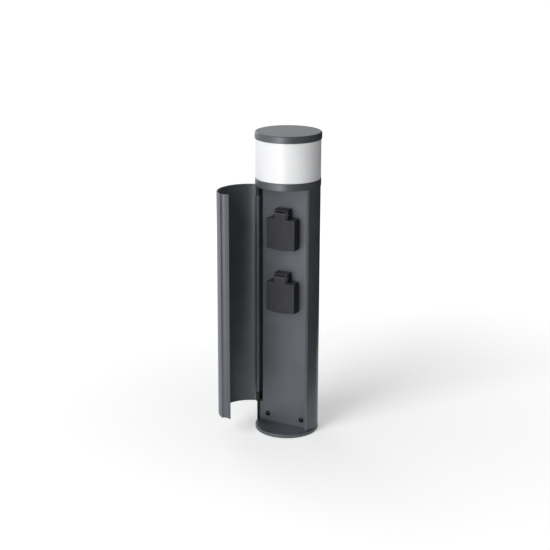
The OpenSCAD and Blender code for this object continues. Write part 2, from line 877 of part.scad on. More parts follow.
module cap() {
    edge = 0.6;
    color("#4b4f53") rotate_extrude($fn = 128) polygon([
        [0, cap_top], [cap_r - cap_bevel, cap_top], [cap_r, cap_top - cap_bevel], [cap_r, cap_low + edge],
        [cap_r - edge, cap_low], [spigot_r, cap_low], [spigot_r, cap_low - spigot_h],
        [spigot_r - cap_wall, cap_low - spigot_h], [spigot_r - cap_wall, cap_top - cap_wall],
        [0, cap_top - cap_wall],
    ]);
}

module led_board() {
    color("whitesmoke") difference() {
        translate([0, 0, board_low]) cylinder(r = board_r, h = board_t);
        for (a = [30, 150, 270]) rotate([0, 0, a]) translate([board_screw_pitch_r, 0, board_low - over])
            cylinder(r = fixing_r + fit, h = board_t + 2 * over);
    }
}

module led_chips() {
    color("gold") for (i = [0 : diode_count - 1])
        rotate([0, 0, (i + 0.5) * 360 / diode_count])
            translate([diode_ring_r - diode_w / 2, -diode_w / 2, board_low + board_t])
                cube([diode_w, diode_w, diode_h]);
}

module led_board_screws() {
    color("silver") for (a = [30, 150, 270])
        rotate([0, 0, a]) translate([board_screw_pitch_r, 0, board_low + board_t])
            screw(fixing_r - 0.25, board_t + standoff_h, fixing_head_r, fixing_head_h);
}

module at_driver_screws() {
    for (side = [-1, 1])
        translate([side * (driver_size.x + driver_tab.x) / 2, driver_y + driver_size.y / 2, post_top]) children();
}

module led_driver() {
    color("whitesmoke") difference() {
        union() {
            translate([-driver_size.x / 2, driver_y, post_top - driver_size.z]) cube(driver_size);
            at_driver_screws() translate([-driver_tab.x / 2 - over / 2, -driver_tab.y / 2, -driver_tab.z])
                cube(driver_tab + [over, 0, 0]);
        }
        at_driver_screws() translate([0, 0, -driver_tab.z - over])
            cylinder(r = fixing_r + fit, h = driver_tab.z + 2 * over);
    }
}

module led_driver_screws() {
    color("silver") at_driver_screws() translate([0, 0, -driver_tab.z]) mirror([0, 0, 1])
        screw(fixing_r, driver_tab.z + collar_floor, fixing_head_r, fixing_head_h);
}

module led_wires() {
    color("crimson") mirrored_x() translate([lead_gap / 2, lead_y, post_top])
        cylinder(r = lead_r, h = board_low - post_top);
}

// Wires

function way_y(way) = run_y + way * run_step;

// From a bore of the terminal block, up the back of the post, and in to a socket's rear
function socket_route(pole, way, x, end_y, z) = [
    [pole_x(pole), bore_y(way), bar_top - bar_bore_d + 1],
    [pole_x(pole), bore_y(way), run_low_z],
    [x, way_y(way), run_high_z],
    [x, way_y(way), z - 24],
    [x, way_y(way), z],
    [x, socket_back - panel_y + 2, z],
    [x, end_y, z],
];

module socket_wires(way, z) {
    wire(socket_route(0, way, panel_mid - contact_x, sleeve_end - panel_y, z), wire_r);
    wire(socket_route(2, way, panel_mid + contact_x, sleeve_end - panel_y, z), wire_r);
    wire(socket_route(1, way, panel_mid, clip_back + clip_t - panel_y, z + earth_hole_z), wire_r);
}

module lower_socket_wires() { color("sienna") socket_wires(0, lower_socket_z); }

module upper_socket_wires() { color("steelblue") socket_wires(1, upper_socket_z); }

driver_wire_y = driver_y + driver_size.y - 6;
driver_low = post_top - driver_size.z;

module driver_wires() {
    color("sienna") for (pole = [0, 2]) wire([
        [pole_x(pole), bore_y(2), bar_top - bar_bore_d + 1],
        [pole_x(pole), bore_y(2), run_low_z],
        [pole_x(pole), way_y(2), run_high_z],
        [pole_x(pole), way_y(2), driver_low - 24],
        [pole_x(pole), way_y(2), driver_low - 12],
        [pole_x(pole), driver_wire_y, driver_low - 12],
        [pole_x(pole), driver_wire_y, driver_low],
    ], wire_r);
}

module earth_wire() {
    start_x = panel_mid + earth_x - lug_ring_r - barrel_l + 0.3;
    start_y = bracket_face + barrel_r + fit;
    color("yellowgreen") wire([
        [start_x, start_y, earth_z],
        [start_x - 6, start_y, earth_z],
        [pole_x(1), start_y + 1, earth_z + 3],
        [pole_x(1), bore_y(2), earth_z + 6],
        [pole_x(1), bore_y(2), block_z + bar_wall + 4],
    ], wire_r);
}

// Socket, drawn about its centre on the panel's face

module frame_outline(inset) {
    translate([0, -frame_foot / 2])
        polygon(round_rect(frame_w - 2 * inset, frame_w + frame_foot - 2 * inset, frame_corner_r));
}

module hinge_cheeks() {
    low = lid_shoulder + 1.5;
    for (side = [-1, 1])
        translate([side > 0 ? block_half - cheek_t : -block_half, 0, 0])
            rotate([90, 0, 90]) linear_extrude(cheek_t) polygon([
                [block_front + over, low], [cheek_front, low], [cheek_front, block_top - cheek_chamfer],
                [cheek_front + cheek_chamfer, block_top], [block_front + over, block_top],
            ]);
}

// The bar that joins the two cheeks above the tongue, set back a little from their front
module cheek_bar() {
    back = cheek_front + bar_d;
    low = block_top - bar_h;
    front = cheek_front + 0.3;
    half = block_half - cheek_t / 2;
    translate([-half, 0, 0]) rotate([90, 0, 90]) linear_extrude(2 * half) polygon([
        [back, low], [front, low], [front, block_top - cheek_chamfer],
        [cheek_front + cheek_chamfer, block_top - 0.3], [back, block_top - 0.3],
    ]);
}

module socket_body() {
    color("#1b1c1e") difference() {
        union() {
            upright(frame_front, -gasket_t) frame_outline(0);
            rod_y(drum_r, -gasket_t - over, drum_end);
            translate([-block_half, block_front, frame_w / 2 - over])
                cube([2 * block_half, -gasket_t - block_front, block_top - frame_w / 2 + over]);
            hinge_cheeks();
            cheek_bar();
        }
        rod_y(well_r, frame_front - over, well_floor);
        for (x = [-contact_x, contact_x]) translate([x, 0, 0]) {
            rod_y(pin_hole_r, 0, sleeve_start + over);
            rod_y(sleeve_r, sleeve_start, drum_end + over);
            translate([0, (sleeve_start + sleeve_end) / 2 + 3, 0])
                cylinder(r = terminal_screw_r + fit, h = drum_r);
        }
        // Slots for the earth clip: two arms along the well and a yoke behind
        for (z = [-1, 1]) translate([-clip_w / 2 - clip_slot, frame_front + 1.5, z > 0 ? well_r - clip_inset - clip_slot : -drum_r + 0.6])
            cube([clip_w + 2 * clip_slot, drum_end + over - frame_front, drum_r - 0.6 - well_r + clip_inset + clip_slot]);
        translate([-clip_w / 2 - clip_slot, clip_back, -well_r])
            cube([clip_w + 2 * clip_slot, drum_end + over - clip_back, 2 * well_r]);
        rod_y(terminal_screw_r, clip_back - 4, drum_end);
        at_fixings() {
            rod_y(fixing_r + fit, frame_front - over, 0);
            rod_y(fixing_head_r + fit, frame_front - over, frame_front + fixing_sink);
        }
        translate([0, lid_axis_y, lid_axis_z]) rod_x(lid_pin_r, block_half + over);
    }
}

module socket_gasket() {
    color("#101011") difference() {
        upright(-gasket_t, 0) frame_outline(1);
        rod_y(drum_r + drum_gap, -gasket_t - over, over);
        at_fixings() rod_y(fixing_r + fit, -gasket_t - over, over);
    }
}

module socket_back_cover() {
    color("#1b1c1e") difference() {
        rod_y(drum_r, drum_end, socket_back);
        for (x = [-contact_x, contact_x]) translate([x, 0, 0]) rod_y(wire_hole_r, drum_end - over, socket_back + over);
        translate([0, 0, earth_hole_z]) rod_y(wire_hole_r, drum_end - over, socket_back + over);
    }
}

module contact_sleeves() {
    color("goldenrod") mirrored_x() translate([contact_x, 0, 0]) difference() {
        rod_y(sleeve_r, sleeve_start, sleeve_end);
        rod_y(sleeve_bore_r, sleeve_start - over, sleeve_end - 4);
    }
}

module earth_clip() {
    arm_out = well_r - clip_inset + clip_t;
    arm_front = frame_front + 3;
    color("silver") difference() {
        union() {
            for (z = [arm_out - clip_t, -arm_out])
                translate([-clip_w / 2, arm_front, z]) cube([clip_w, clip_back + clip_t - arm_front, clip_t]);
            translate([-clip_w / 2, clip_back, -arm_out]) cube([clip_w, clip_t, 2 * arm_out]);
        }
        rod_y(terminal_screw_r, clip_back - over, clip_back + clip_t + over);
    }
}

module terminal_screws() {
    screw_l = 8;
    color("silver") {
        mirrored_x() translate([contact_x, (sleeve_start + sleeve_end) / 2 + 3, sleeve_r])
            cylinder(r = terminal_screw_r, h = screw_l);
        translate([0, clip_back + clip_t, 0]) facing_back() screw(terminal_screw_r, clip_t + 4, 2.6, 1.6);
    }
}

module fixing_screws() {
    color("silver") at_fixings() translate([0, frame_front + fixing_sink, 0]) facing_front()
        screw(fixing_r, frame_d - fixing_sink + post_wall, fixing_head_r, fixing_head_h);
}

// Lids

function lid_outline() = concat(
    [[lid_w / 2, lid_shoulder], [-lid_w / 2, lid_shoulder]],
    [for (i = [0 : 16]) let (s = i / 8 - 1) [s * lid_w / 2, -lid_drop - lid_bulge * (1 - s * s)]]
);

module lid_tongue() {
    translate([-tongue_w / 2, 0, 0]) rotate([90, 0, 90]) linear_extrude(tongue_w) polygon(concat(
        [[lid_rim, lid_shoulder], [lid_rim, lid_shoulder - over], [lid_front, lid_shoulder - over]],
        [for (p = arc(lid_knuckle_r, 180, -45, 20)) [lid_axis_y, lid_axis_z] + p]
    ));
}

module lid() {
    inside_w = lid_w - 2 * lid_wall;
    inside_low = -lid_drop + lid_wall;
    color("#1f2022") difference() {
        union() {
            upright(lid_front, lid_rim) polygon(lid_outline());
            lid_tongue();
        }
        translate([-inside_w / 2, lid_front + lid_wall, inside_low])
            cube([inside_w, lid_t, lid_shoulder - lid_wall - inside_low]);
        translate([-spring_slot_half, lid_front + tongue_skin, lid_shoulder + 1])
            cube([2 * spring_slot_half, 3 * lid_knuckle_r, lid_axis_z + 2 * lid_knuckle_r]);
        translate([0, lid_axis_y, lid_axis_z]) rod_x(lid_pin_r + running_fit, tongue_w / 2 + over);
    }
}

module lid_seal() {
    color("#101011") difference() {
        rod_y(well_r + 3.3, lid_front + lid_wall, frame_front - fit);
        rod_y(well_r + 0.9, lid_front + lid_wall - over, frame_front);
    }
}

module lid_pin() {
    color("silver") translate([0, lid_axis_y, lid_axis_z]) rod_x(lid_pin_r, block_half);
}

// Closed coil round the pin: one leg rests on the hinge block, the other lies behind the tongue
module lid_spring() {
    leg_r = 0.4;
    leg_at = spring_r - leg_r - 0.15;
    leg_end = 4;
    color("silver") translate([0, lid_axis_y, lid_axis_z]) {
        difference() {
            rod_x(spring_r, spring_half);
            rod_x(lid_pin_r + fit, spring_half + over);
        }
        translate([spring_half - 1, 0, -leg_at]) rod_y(leg_r, spring_r / 2, block_front - lid_axis_y);
        translate([1 - spring_half, -leg_at, -leg_end]) cylinder(r = leg_r, h = leg_end - spring_r / 2);
    }
}

base_plate();
cable_grommet();
terminal_bracket();
foot_screws();
foot_nuts();
terminal_block();
terminal_bars();
terminal_block_screws();
strain_relief();
strain_relief_screws();
earth_lug();
earth_screw();
post();
lower_hinge_ear();
upper_hinge_ear();
lower_hinge_pin();
upper_hinge_pin();
door();
lower_hinge_bush();
upper_hinge_bush();
collar();
collar_screws();
diffuser_gasket();
diffuser_ring();
diffuser();
cap();
led_board();
led_chips();
led_board_screws();
led_driver();
led_driver_screws();
led_wires();
lower_socket_wires();
upper_socket_wires();
driver_wires();
earth_wire();
at_socket(lower_socket_z) socket_body();  // lower_socket_body
at_socket(lower_socket_z) socket_gasket();  // lower_socket_gasket
at_socket(lower_socket_z) socket_back_cover();  // lower_socket_back
at_socket(lower_socket_z) contact_sleeves();  // lower_socket_sleeves
at_socket(lower_socket_z) earth_clip();  // lower_socket_earth_clip
at_socket(lower_socket_z) terminal_screws();  // lower_socket_terminal_screws
at_socket(lower_socket_z) fixing_screws();  // lower_socket_fixing_screws
at_socket(lower_socket_z) lid();  // lower_lid
at_socket(lower_socket_z) lid_seal();  // lower_lid_seal
at_socket(lower_socket_z) lid_pin();  // lower_lid_pin
at_socket(lower_socket_z) lid_spring();  // lower_lid_spring
at_socket(upper_socket_z) socket_body();  // upper_socket_body
at_socket(upper_socket_z) socket_gasket();  // upper_socket_gasket
at_socket(upper_socket_z) socket_back_cover();  // upper_socket_back
at_socket(upper_socket_z) contact_sleeves();  // upper_socket_sleeves
at_socket(upper_socket_z) earth_clip();  // upper_socket_earth_clip
at_socket(upper_socket_z) terminal_screws();  // upper_socket_terminal_screws
at_socket(upper_socket_z) fixing_screws();  // upper_socket_fixing_screws
at_socket(upper_socket_z) lid();  // upper_lid
at_socket(upper_socket_z) lid_seal();  // upper_lid_seal
at_socket(upper_socket_z) lid_pin();  // upper_lid_pin
at_socket(upper_socket_z) lid_spring();  // upper_lid_spring
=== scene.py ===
"""The looks of a garden socket post: a round anthracite post with a hinged door, two sockets with
sprung lids and a lamp head. Lengths are in metres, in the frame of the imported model."""
import bpy
import bmesh
import json
import math
from mathutils import Matrix, Vector


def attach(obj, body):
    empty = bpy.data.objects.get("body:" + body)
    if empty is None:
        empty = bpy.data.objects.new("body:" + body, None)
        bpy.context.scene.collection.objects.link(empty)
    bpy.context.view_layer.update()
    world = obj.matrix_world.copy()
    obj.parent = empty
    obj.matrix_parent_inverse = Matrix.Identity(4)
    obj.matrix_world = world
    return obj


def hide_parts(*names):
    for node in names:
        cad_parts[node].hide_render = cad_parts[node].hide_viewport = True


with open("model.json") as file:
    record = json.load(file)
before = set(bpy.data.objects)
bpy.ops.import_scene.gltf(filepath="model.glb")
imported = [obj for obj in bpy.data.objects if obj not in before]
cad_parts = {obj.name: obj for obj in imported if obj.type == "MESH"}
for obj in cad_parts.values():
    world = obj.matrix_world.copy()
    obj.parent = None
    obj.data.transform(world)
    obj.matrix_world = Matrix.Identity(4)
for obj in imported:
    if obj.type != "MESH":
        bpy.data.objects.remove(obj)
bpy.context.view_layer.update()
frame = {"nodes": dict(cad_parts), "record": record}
scene = bpy.context.scene
NODES = frame["nodes"]
BODY_OF = {node: body for body, nodes in frame["record"]["behaviour"]["bodies"].items() for node in nodes}
SIDES = ("lower", "upper")

# In millimetres, as in the CAD: the panel's middle (x) and front face (y), the bracket's rear face
# (y), each socket's height, and a socket's contacts to either side of its middle
MID = -1.7
PANEL = -5.7
BRACKET = 3.1
SOCKET_Z = {"lower": 246.5, "upper": 358}
CONTACT = 9.5


# Camera, floor and light

def place_camera():
    """The photograph's view, fitted to the post's straight edges and rings."""
    right = Vector((0.88672209, 0.46229174, 0.00320763))
    up = Vector((-0.13560241, 0.25345335, 0.95779611))
    forward = Vector((-0.44196824, 0.84973393, -0.28743056))
    data = bpy.data.cameras.new("photo_camera")
    data.lens = 84.489
    data.sensor_width = 36
    camera = bpy.data.objects.new("photo_camera", data)
    turn = Matrix((right, up, -forward)).transposed().to_4x4()
    camera.matrix_world = Matrix.Translation((0.96200495, -1.89621534, 0.91858213)) @ turn
    scene.collection.objects.link(camera)
    scene.camera = camera
    scene.view_settings.view_transform = "Standard"


def add_lamp(name, place, aim, size, power):
    """A round lamp at a place, turned to what it lights."""
    data = bpy.data.lights.new(name, "AREA")
    data.shape = "DISK"
    data.size = size
    data.energy = power
    lamp = bpy.data.objects.new(name, data)
    lamp.location = place
    lamp.rotation_euler = (Vector(aim) - Vector(place)).to_track_quat("-Z", "Y").to_euler()
    scene.collection.objects.link(lamp)


def plain_material(name):
    """A new material without any nodes, and its nodes and links."""
    material = bpy.data.materials.new(name)
    material.use_nodes = True
    material.node_tree.nodes.clear()
    return material, material.node_tree.nodes, material.node_tree.links


def seen_directly(nodes, links):
    """1 for rays that come from the camera, a gloss or clear plastic, and 0 for diffuse light."""
    path = nodes.new("ShaderNodeLightPath")
    first = nodes.new("ShaderNodeMath")
    first.operation = "MAXIMUM"
    links.new(path.outputs["Is Camera Ray"], first.inputs[0])
    links.new(path.outputs["Is Glossy Ray"], first.inputs[1])
    second = nodes.new("ShaderNodeMath")
    second.operation = "MAXIMUM"
    links.new(first.outputs[0], second.inputs[0])
    links.new(path.outputs["Is Transmission Ray"], second.inputs[1])
    return second.outputs[0]


def light_studio():
    """A pale room: a white surround, a low broad light in front, lamps at the sides and a soft sun."""
    world = bpy.data.worlds.new("studio")
    world.use_nodes = True
    nodes, links = world.node_tree.nodes, world.node_tree.links
    nodes.clear()
    surround = nodes.new("ShaderNodeBackground")
    surround.inputs["Color"].default_value = (1, 1, 1, 1)
    surround.inputs["Strength"].default_value = 1
    room = nodes.new("ShaderNodeBackground")
    room.inputs["Color"].default_value = (0.96, 0.98, 1, 1)
    room.inputs["Strength"].default_value = 0.17
    choose = nodes.new("ShaderNodeMixShader")
    links.new(seen_directly(nodes, links), choose.inputs[0])
    links.new(room.outputs[0], choose.inputs[1])
    links.new(surround.outputs[0], choose.inputs[2])
    output = nodes.new("ShaderNodeOutputWorld")
    links.new(choose.outputs[0], output.inputs["Surface"])
    scene.world = world
    sun = bpy.data.lights.new("key", "SUN")
    sun.energy = 1.35
    sun.angle = math.radians(30)
    key = bpy.data.objects.new("key", sun)
    key.rotation_euler = Vector((0.3, 0.95, -0.7)).to_track_quat("-Z", "Y").to_euler()
    scene.collection.objects.link(key)
    add_lamp("front", (0.05, -1.6, 0.42), (0, 0, 0.25), 0.8, 9.3)
    add_lamp("fill", (-0.8, -1.7, 0.6), (0, 0, 0.3), 1.6, 2)
    add_lamp("left_edge", (-1.3, 0.9, 0.8), (0, 0, 0.3), 1, 4)
    add_lamp("right", (1.3, -0.9, 0.7), (0, 0, 0.3), 1, 1.2)


def place_flag():
    """A dark board out of view at the right, which only reflections see, so that side stays dark."""
    mesh = bpy.data.meshes.new("studio_flag")
    line = [(0.2, -1.0), (0.2, 0.4), (-0.12, 0.6)]
    corners = [(x, y, z) for x, y in line for z in (0, 1.5)]
    mesh.from_pydata(corners, [], [(0, 2, 3, 1), (2, 4, 5, 3)])
    flag = bpy.data.objects.new("studio_flag", mesh)
    scene.collection.objects.link(flag)
    material, nodes, links = plain_material("studio_flag_cloth")
    cloth = nodes.new("ShaderNodeBsdfDiffuse")
    cloth.inputs["Color"].default_value = (0.05, 0.05, 0.05, 1)
    output = nodes.new("ShaderNodeOutputMaterial")
    links.new(cloth.outputs[0], output.inputs["Surface"])
    mesh.materials.append(material)
    flag.visible_camera = False
    flag.visible_diffuse = False
    flag.visible_shadow = False
    flag.visible_transmission = False


def lay_floor():
    """White paint, lifted to white where it is seen by a glow; the glow is weakest near the post, a
    painted shade that keeps the floor round the post, and the post's shadow on it, darker.
    """
    mesh = bpy.data.meshes.new("studio_floor")
    reach = 30
    corners = [(-reach, -reach, 0), (reach, -reach, 0), (reach, reach, 0), (-reach, reach, 0)]
    mesh.from_pydata(corners, [], [(0, 1, 2, 3)])
    floor = bpy.data.objects.new("studio_floor", mesh)
    floor.location.z = -0.0003
    scene.collection.objects.link(floor)
    material, nodes, links = plain_material("studio_floor_paint")
    paint = nodes.new("ShaderNodeBsdfDiffuse")
    paint.inputs["Color"].default_value = (0.9, 0.9, 0.9, 1)
    painted_glow = nodes.new("ShaderNodeEmission")
    painted_glow.inputs["Color"].default_value = (1, 1, 1, 1)
    distance = nodes.new("ShaderNodeVectorMath")
    distance.operation = "LENGTH"
    links.new(nodes.new("ShaderNodeTexCoord").outputs["Object"], distance.inputs[0])
    shown = nodes.new("ShaderNodeMath")
    shown.operation = "MULTIPLY"
    links.new(seen_directly(nodes, links), shown.inputs[0])
    # Painted shade: the glow grows from 0.38 near the post to 0.65 a metre off, so the floor reads darker
    # round the post.
    links.new(spread(nodes, links, distance.outputs["Value"], 0.38, 0.65, 0.1, 1.1), shown.inputs[1])
    links.new(shown.outputs[0], painted_glow.inputs["Strength"])
    both = nodes.new("ShaderNodeAddShader")
    links.new(paint.outputs[0], both.inputs[0])
    links.new(painted_glow.outputs[0], both.inputs[1])
    output = nodes.new("ShaderNodeOutputMaterial")
    links.new(both.outputs[0], output.inputs["Surface"])
    mesh.materials.append(material)


# Materials. Every pattern is in Object coordinates; scales are per metre.

def start_finish(name, **numbers):
    """A material with one Principled shader, its plain numbers and its Object coordinates."""
    material, nodes, links = plain_material(name)
    shader = nodes.new("ShaderNodeBsdfPrincipled")
    for socket, value in numbers.items():
        shader.inputs[socket.replace("_", " ")].default_value = value
    output = nodes.new("ShaderNodeOutputMaterial")
    links.new(shader.outputs[0], output.inputs["Surface"])
    place = nodes.new("ShaderNodeTexCoord").outputs["Object"]
    return material, nodes, links, shader, place


def grain(nodes, links, place, scale, detail=3, stretch=None):
    """Noise of that many waves a metre, drawn out along an axis where stretch is given."""
    if stretch:
        mapping = nodes.new("ShaderNodeMapping")
        mapping.inputs["Scale"].default_value = stretch
        links.new(place, mapping.inputs["Vector"])
        place = mapping.outputs[0]
    noise = nodes.new("ShaderNodeTexNoise")
    noise.inputs["Scale"].default_value = scale
    noise.inputs["Detail"].default_value = detail
    links.new(place, noise.inputs["Vector"])
    return noise.outputs["Fac"]


def spread(nodes, links, value, low, high, start=0.3, end=0.7):
    """A value from start to end, such as noise, mapped to the range from low to high."""
    remap = nodes.new("ShaderNodeMapRange")
    remap.inputs["From Min"].default_value = start
    remap.inputs["From Max"].default_value = end
    remap.inputs["To Min"].default_value = low
    remap.inputs["To Max"].default_value = high
    links.new(value, remap.inputs["Value"])
    return remap.outputs[0]


def tint(nodes, links, value, first, second):
    """A colour between two, chosen by a value from 0 to 1."""
    ramp = nodes.new("ShaderNodeValToRGB")
    ramp.color_ramp.elements[0].position = 0.3
    ramp.color_ramp.elements[1].position = 0.7
    ramp.color_ramp.elements[0].color = (*first, 1)
    ramp.color_ramp.elements[1].color = (*second, 1)
    links.new(value, ramp.inputs[0])
    return ramp.outputs[0]


def emboss(nodes, links, shader, height, strength, depth):
    """Relief too fine for the mesh, depth metres deep."""
    bump = nodes.new("ShaderNodeBump")
    bump.inputs["Strength"].default_value = strength
    bump.inputs["Distance"].default_value = depth
    links.new(height, bump.inputs["Height"])
    links.new(bump.outputs[0], shader.inputs["Normal"])


def powder_coat(name, dark, light, metallic, rough):
    """Satin powder coat on aluminium: a fine pebbled skin, with faint clouds in tone and gloss."""
    material, nodes, links, shader, place = start_finish(name, Metallic=metallic, Specular_IOR_Level=0.35)
    clouds = grain(nodes, links, place, 38, 4)
    flecks = grain(nodes, links, place, 5200, 2)
    links.new(tint(nodes, links, clouds, dark, light), shader.inputs["Base Color"])
    links.new(spread(nodes, links, flecks, rough - 0.05, rough + 0.05), shader.inputs["Roughness"])
    emboss(nodes, links, shader, grain(nodes, links, place, 3400, 2), 0.25, 0.00005)
    return material


def moulded_plastic(name, dark, light, rough, texture=5000, depth=0.00004):
    """Moulded plastic with the fine matt texture of the tool, and a faint flow pattern in its tone."""
    material, nodes, links, shader, place = start_finish(name, Specular_IOR_Level=0.3)
    flow = grain(nodes, links, place, 90, 3, (1, 1, 0.3))
    links.new(tint(nodes, links, flow, dark, light), shader.inputs["Base Color"])
    wear = grain(nodes, links, place, 400, 3)
    links.new(spread(nodes, links, wear, rough - 0.06, rough + 0.06), shader.inputs["Roughness"])
    emboss(nodes, links, shader, grain(nodes, links, place, texture, 2), 0.3, depth)
    return material


def opal_plastic():
    """Opal plastic round the lamp: light enters and spreads inside the wall."""
    material, nodes, links, shader, place = start_finish(
        "opal_diffuser", Subsurface_Weight=0.35, Subsurface_Scale=0.006,
        Subsurface_Radius=(1, 1, 1), IOR=1.49)
    haze = grain(nodes, links, place, 24, 3)
    shade = tint(nodes, links, haze, (0.86, 0.865, 0.875), (0.9, 0.9, 0.905))
    links.new(shade, shader.inputs["Base Color"])
    gloss = spread(nodes, links, grain(nodes, links, place, 260, 3), 0.3, 0.4)
    links.new(gloss, shader.inputs["Roughness"])
    emboss(nodes, links, shader, grain(nodes, links, place, 2600, 2), 0.12, 0.00003)
    return material


def drawn_metal(name, dark, light, rough, stretch=(1, 1, 0.05)):
    """Bare or plated metal with fine drawn lines and a cloudy tone."""
    material, nodes, links, shader, place = start_finish(name, Metallic=1)
    shade = tint(nodes, links, grain(nodes, links, place, 320, 4), dark, light)
    links.new(shade, shader.inputs["Base Color"])
    lines = grain(nodes, links, place, 5000, 3, stretch)
    links.new(spread(nodes, links, lines, rough - 0.08, rough + 0.1), shader.inputs["Roughness"])
    emboss(nodes, links, shader, lines, 0.15, 0.00002)
    return material


def soft_rubber():
    """Matt rubber with a dusty, slightly uneven skin."""
    material, nodes, links, shader, place = start_finish("black_rubber")
    dust = grain(nodes, links, place, 300, 4)
    shade = tint(nodes, links, dust, (0.016, 0.016, 0.016), (0.03, 0.029, 0.028))
    links.new(shade, shader.inputs["Base Color"])
    skin = grain(nodes, links, place, 900, 3)
    links.new(spread(nodes, links, skin, 0.72, 0.85), shader.inputs["Roughness"])
    emboss(nodes, links, shader, grain(nodes, links, place, 3800, 3), 0.3, 0.00005)
    return material


def insulation(name, colour):
    """Soft plastic round a conductor, with a faint draw line and finger marks in its gloss."""
    material, nodes, links, shader, place = start_finish(name)
    darker = tuple(0.8 * part for part in colour)
    shade = tint(nodes, links, grain(nodes, links, place, 240, 3), darker, colour)
    links.new(shade, shader.inputs["Base Color"])
    gloss = spread(nodes, links, grain(nodes, links, place, 700, 3), 0.3, 0.42)
    links.new(gloss, shader.inputs["Roughness"])
    emboss(nodes, links, shader, grain(nodes, links, place, 2400, 2), 0.12, 0.00003)
    return material


def board_lacquer():
    """White lacquer on the lamp's circuit board, over a faint weave of glass cloth."""
    material, nodes, links, shader, place = start_finish("board_lacquer")
    weave = grain(nodes, links, place, 1500, 2, (1, 0.2, 1))
    shade = tint(nodes, links, weave, (0.76, 0.78, 0.77), (0.84, 0.85, 0.85))
    links.new(shade, shader.inputs["Base Color"])
    links.new(spread(nodes, links, weave, 0.28, 0.4), shader.inputs["Roughness"])
    emboss(nodes, links, shader, weave, 0.1, 0.00002)
    return material


def phosphor():
    """The yellow gel over a light-emitting diode."""
    material, nodes, links, shader, place = start_finish(
        "diode_gel", Subsurface_Weight=0.2, Subsurface_Scale=0.001)
    grains = grain(nodes, links, place, 2500, 3)
    shade = tint(nodes, links, grains, (0.8, 0.6, 0.1), (0.92, 0.78, 0.25))
    links.new(shade, shader.inputs["Base Color"])
    links.new(spread(nodes, links, grains, 0.2, 0.35), shader.inputs["Roughness"])
    return material


FINISH = {
    "anthracite": powder_coat("anthracite_coat", (0.099, 0.106, 0.118), (0.112, 0.12, 0.134), 0.4, 0.4),
    "black_coat": powder_coat("black_coat", (0.017, 0.017, 0.018), (0.023, 0.023, 0.025), 0.2, 0.45),
    "black_steel": drawn_metal("black_steel", (0.014, 0.014, 0.015), (0.03, 0.03, 0.032), 0.35),
    "zinc_steel": drawn_metal("zinc_steel", (0.5, 0.51, 0.52), (0.66, 0.67, 0.68), 0.34),
    "brass": drawn_metal("brass", (0.7, 0.5, 0.2), (0.82, 0.64, 0.32), 0.28),
    "rubber": soft_rubber(),
    "black_plastic": moulded_plastic(
        "black_plastic", (0.0185, 0.019, 0.0235), (0.0245, 0.0255, 0.031), 0.43),
    "beige_plastic": moulded_plastic(
        "beige_plastic", (0.66, 0.6, 0.46), (0.72, 0.66, 0.52), 0.38, 900, 0.00002),
    "white_plastic": moulded_plastic(
        "white_plastic", (0.74, 0.74, 0.72), (0.8, 0.8, 0.78), 0.45, 1200, 0.00002),
    "opal_plastic": opal_plastic(),
    "board": board_lacquer(),
    "diode": phosphor(),
    "red_insulation": insulation("red_insulation", (0.45, 0.03, 0.03)),
    "brown_insulation": insulation("brown_insulation", (0.16, 0.07, 0.035)),
    "blue_insulation": insulation("blue_insulation", (0.03, 0.1, 0.42)),
    "green_insulation": insulation("green_insulation", (0.16, 0.42, 0.06)),
}


# Pieces

SLOT_OF = {name: node.data.materials[0].name.split(".")[0] for name, node in NODES.items()}


def paint_nodes():
    """Every CAD node gets its procedural finish."""
    for name, node in NODES.items():
        node.data.materials.clear()
        node.data.materials.append(FINISH[SLOT_OF[name]])


def merged_copy(node):
    """A copy of a node's mesh with its doubles merged and its flat faces joined."""
    mesh = bpy.data.meshes.new(node + "_finished")
    work = bmesh.new()
    work.from_mesh(NODES[node].data)
    bmesh.ops.remove_doubles(work, verts=work.verts, dist=2e-6)
    bmesh.ops.dissolve_limit(work, angle_limit=math.radians(0.6), verts=work.verts, edges=work.edges)
    work.to_mesh(mesh)
    work.free()
    old = mesh.attributes.get("custom_normal")
    if old:
        mesh.attributes.remove(old)
    return mesh


def show(name, mesh):
    """A new object in the scene."""
    piece = bpy.data.objects.new(name, mesh)
    scene.collection.objects.link(piece)
    return piece


def settle(piece, body, slot, *replaced):
    """Turns a piece's modifiers into its mesh and seats it on its body."""
    graph = bpy.context.evaluated_depsgraph_get()
    done = bpy.data.meshes.new_from_object(piece.evaluated_get(graph))
    piece.modifiers.clear()
    piece.data = done
    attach(piece, body)
    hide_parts(*replaced)
    return piece


def rounded(node, edge=0.0004, steps=2, corner=32):
    """Stands for a node: the same shape with its sharp edges rounded."""
    slot = SLOT_OF[node]
    mesh = merged_copy(node)
    mesh.shade_smooth()
    mesh.set_sharp_from_angle(angle=math.radians(corner))
    mesh.materials.clear()
    mesh.materials.append(FINISH[slot])
    piece = show(node + "_finished", mesh)
    bevel = piece.modifiers.new("soft_edges", "BEVEL")
    bevel.width = edge
    bevel.segments = steps
    bevel.limit_method = "ANGLE"
    bevel.angle_limit = math.radians(corner)
    bevel.harden_normals = True
    bevel.use_clamp_overlap = True
    return settle(piece, BODY_OF[node], slot, node)


# Geometry Nodes trees for what repeats or follows a path

# A screw's parts: the hexagon recess against the head's radius, the thread's core and ridge against
# the shank's, and the threaded share of the shank's length
RECESS = 0.42
CORE = 0.84
RIDGE = 0.15
THREADED = 0.86
# The ball that trims a nut's corners, against the radius to the corners
TRIM = 1.14
# A diode's parts against its case's width: the well's radius and the gel's
WELL = 0.4
GEL = 0.38


